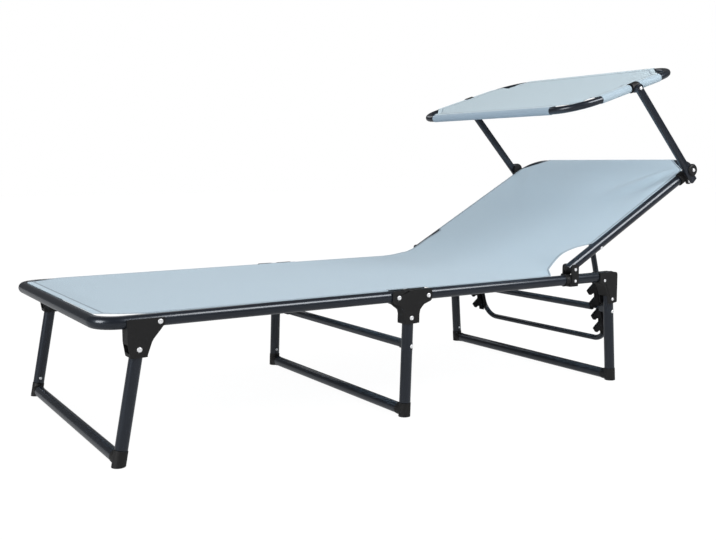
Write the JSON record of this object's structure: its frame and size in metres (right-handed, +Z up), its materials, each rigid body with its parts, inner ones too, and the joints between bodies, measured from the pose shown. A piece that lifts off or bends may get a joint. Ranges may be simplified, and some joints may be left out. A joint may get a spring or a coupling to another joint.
{
  "type": "folding sun lounger with canopy",
  "caption": "Folding tube-frame sun lounger on three leg frames, with a taut fabric bed, a tilting backrest held by toothed racks and a small tilting canopy.",
  "frame": {"origin": "centre of the footprint box, on the floor", "axes": "+X towards the head end along the bed, +Y to the right of a person lying face up, +Z up"},
  "size_m": [1.8356, 0.7946, 0.8965],
  "materials": {
    "coated_steel": "satin",
    "black_plastic": "matte",
    "rivet": "satin",
    "fabric": "woven"
  },
  "bodies": {
    "centre": {"mid_bracket_right": "black_plastic", "mid_bracket_left": "black_plastic", "mid_leg_pin_right": "rivet", "mid_leg_pin_left": "rivet", "foot_fold_pin_right": "rivet", "foot_fold_pin_left": "rivet", "seat_fold_pin_right": "rivet", "seat_fold_pin_left": "rivet"},
    "foot_frame": {"foot_tube": "coated_steel", "front_bracket_right": "black_plastic", "front_bracket_left": "black_plastic", "front_leg_pin_right": "rivet", "front_leg_pin_left": "rivet", "fabric_foot": "fabric"},
    "front_legs": {"front_leg_right": "coated_steel", "front_leg_left": "coated_steel", "front_foot_right": "black_plastic", "front_foot_left": "black_plastic", "front_crossbar": "coated_steel"},
    "mid_legs": {"mid_leg_right": "coated_steel", "mid_leg_left": "coated_steel", "mid_foot_right": "black_plastic", "mid_foot_left": "black_plastic", "mid_crossbar": "coated_steel", "mid_upper_bar": "coated_steel"},
    "seat_frame": {"seat_rail_right": "coated_steel", "seat_rail_left": "coated_steel", "rear_bracket_right": "black_plastic", "rear_bracket_left": "black_plastic", "rear_leg_pin_right": "rivet", "rear_leg_pin_left": "rivet", "hinge_bracket_right": "black_plastic", "hinge_bracket_left": "black_plastic", "back_pin_right": "rivet", "back_pin_left": "rivet", "fabric_seat": "fabric"},
    "rear_legs": {"rear_leg_right": "coated_steel", "rear_leg_left": "coated_steel", "rear_foot_right": "black_plastic", "rear_foot_left": "black_plastic", "rear_crossbar": "coated_steel", "rear_brace": "coated_steel"},
    "backrest": {"back_tube": "coated_steel", "fabric_back": "fabric", "canopy_base_right": "black_plastic", "canopy_base_left": "black_plastic", "canopy_knob_right": "black_plastic", "canopy_knob_left": "black_plastic", "bail_bolt_right": "rivet", "bail_bolt_left": "rivet"},
    "bail_frame": {"bail": "coated_steel", "rack_right": "black_plastic", "rack_left": "black_plastic"},
    "canopy_arms": {"canopy_arm_right": "coated_steel", "canopy_arm_left": "coated_steel"},
    "canopy": {"canopy_ring": "coated_steel", "canopy_clip_right": "black_plastic", "canopy_clip_left": "black_plastic", "fabric_canopy": "fabric"}
  },
  "joints": [
    {"name": "foot_fold", "type": "hinge", "parent": "centre", "child": "foot_frame", "pos_m": [-0.18333, 0, 0.298], "axis": [0, -1, 0], "range_deg": [-90, 0]},
    {"name": "seat_fold", "type": "hinge", "parent": "centre", "child": "seat_frame", "pos_m": [-0.09613, 0, 0.298], "axis": [0, -1, 0], "range_deg": [0, 90]},
    {"name": "front_legs_fold", "type": "hinge", "parent": "foot_frame", "child": "front_legs", "pos_m": [-0.82724, 0, 0.243], "axis": [0, -1, 0], "range_deg": [0, 80]},
    {"name": "mid_legs_fold", "type": "hinge", "parent": "centre", "child": "mid_legs", "pos_m": [-0.14701, 0, 0.246], "axis": [0, -1, 0], "range_deg": [0, 80]},
    {"name": "rear_legs_fold", "type": "hinge", "parent": "seat_frame", "child": "rear_legs", "pos_m": [0.54347, 0, 0.236], "axis": [0, 1, 0], "range_deg": [0, 80]},
    {"name": "backrest_tilt", "type": "hinge", "parent": "seat_frame", "child": "backrest", "pos_m": [0.39617, 0, 0.329], "axis": [0, -1, 0], "range_deg": [0, 36]},
    {"name": "bail_swing", "type": "hinge", "parent": "backrest", "child": "bail_frame", "pos_m": [0.54329, 0, 0.41491], "axis": [0, -1, 0], "range_deg": [0, 9]},
    {"name": "canopy_arms_swing", "type": "hinge", "parent": "backrest", "child": "canopy_arms", "pos_m": [0.84117, 0, 0.595], "axis": [0, 1, 0], "range_deg": [-20, 75]},
    {"name": "canopy_tilt", "type": "hinge", "parent": "canopy_arms", "child": "canopy", "pos_m": [0.61217, 0, 0.822], "axis": [0, 1, 0], "range_deg": [-60, 60]}
  ],
  "couplings": [
    {"joint": "bail_swing", "follows": "backrest_tilt", "ratio": 0.25}
  ]
}
